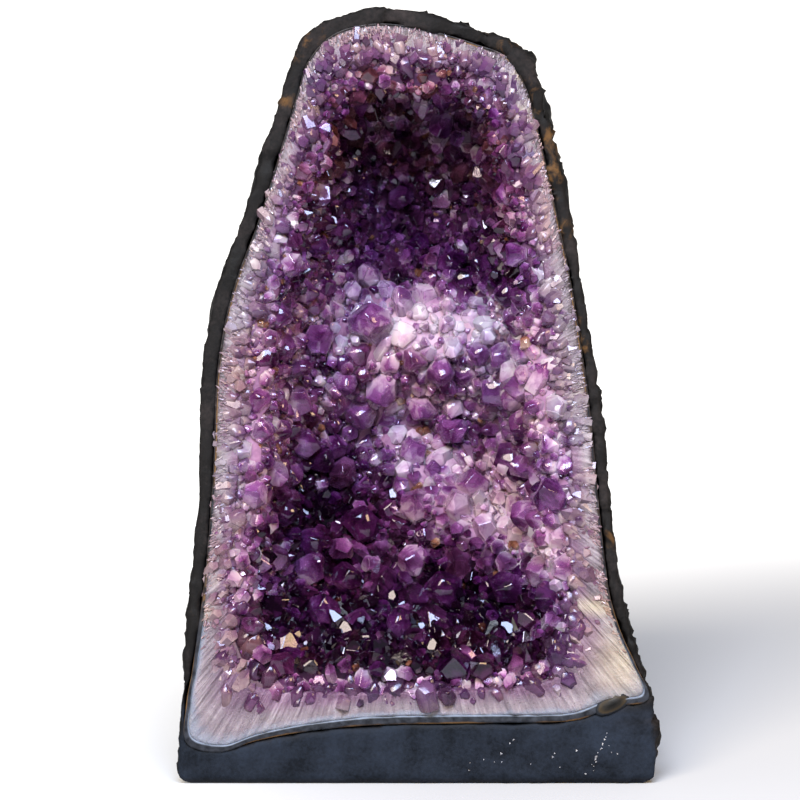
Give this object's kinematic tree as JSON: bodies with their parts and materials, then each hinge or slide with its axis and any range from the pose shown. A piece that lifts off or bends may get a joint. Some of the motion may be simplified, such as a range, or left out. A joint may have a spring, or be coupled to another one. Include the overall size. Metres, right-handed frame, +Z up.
{
  "type": "amethyst geode",
  "caption": "Free-standing cathedral geode: flat-sawn dark basalt half-dome lined with agate, pale quartz and a hollow of purple amethyst crystals.",
  "frame": {"origin": "centre of the bounding box at the flat-sawn underside", "axes": "+Z up; the open crystal-lined face looks to -Y and leans back 9 degrees; +X is to the viewer's right when facing it"},
  "size_m": [0.1884, 0.146, 0.2999],
  "materials": {
    "basalt": "matte",
    "agate": "satin",
    "pale_quartz": "satin",
    "amethyst_druse": "gloss",
    "amethyst_point": "polished"
  },
  "bodies": {
    "root": {"basalt_rind": "basalt", "agate_band": "agate", "quartz_lining": "pale_quartz", "amethyst_druse": "amethyst_druse", "amethyst_point_01": "amethyst_point", "amethyst_point_02": "amethyst_point", "amethyst_point_03": "amethyst_point", "amethyst_point_04": "amethyst_point", "amethyst_point_05": "amethyst_point", "amethyst_point_06": "amethyst_point", "amethyst_point_07": "amethyst_point", "amethyst_point_08": "amethyst_point", "amethyst_point_09": "amethyst_point", "amethyst_point_10": "amethyst_point", "amethyst_point_11": "amethyst_point", "amethyst_point_12": "amethyst_point", "amethyst_point_13": "amethyst_point", "amethyst_point_14": "amethyst_point", "amethyst_point_15": "amethyst_point", "amethyst_point_16": "amethyst_point", "amethyst_point_17": "amethyst_point", "amethyst_point_18": "amethyst_point", "amethyst_point_19": "amethyst_point", "amethyst_point_20": "amethyst_point", "amethyst_point_21": "amethyst_point", "amethyst_point_22": "amethyst_point", "amethyst_point_23": "amethyst_point", "amethyst_point_24": "amethyst_point", "amethyst_point_25": "amethyst_point", "amethyst_point_26": "amethyst_point", "amethyst_point_27": "amethyst_point", "amethyst_point_28": "amethyst_point", "amethyst_point_29": "amethyst_point", "amethyst_point_30": "amethyst_point", "amethyst_point_31": "amethyst_point", "amethyst_point_32": "amethyst_point", "amethyst_point_33": "amethyst_point", "amethyst_point_34": "amethyst_point", "amethyst_point_35": "amethyst_point", "amethyst_point_36": "amethyst_point", "amethyst_point_37": "amethyst_point", "amethyst_point_38": "amethyst_point", "amethyst_point_39": "amethyst_point"}
  },
  "joints": []
}
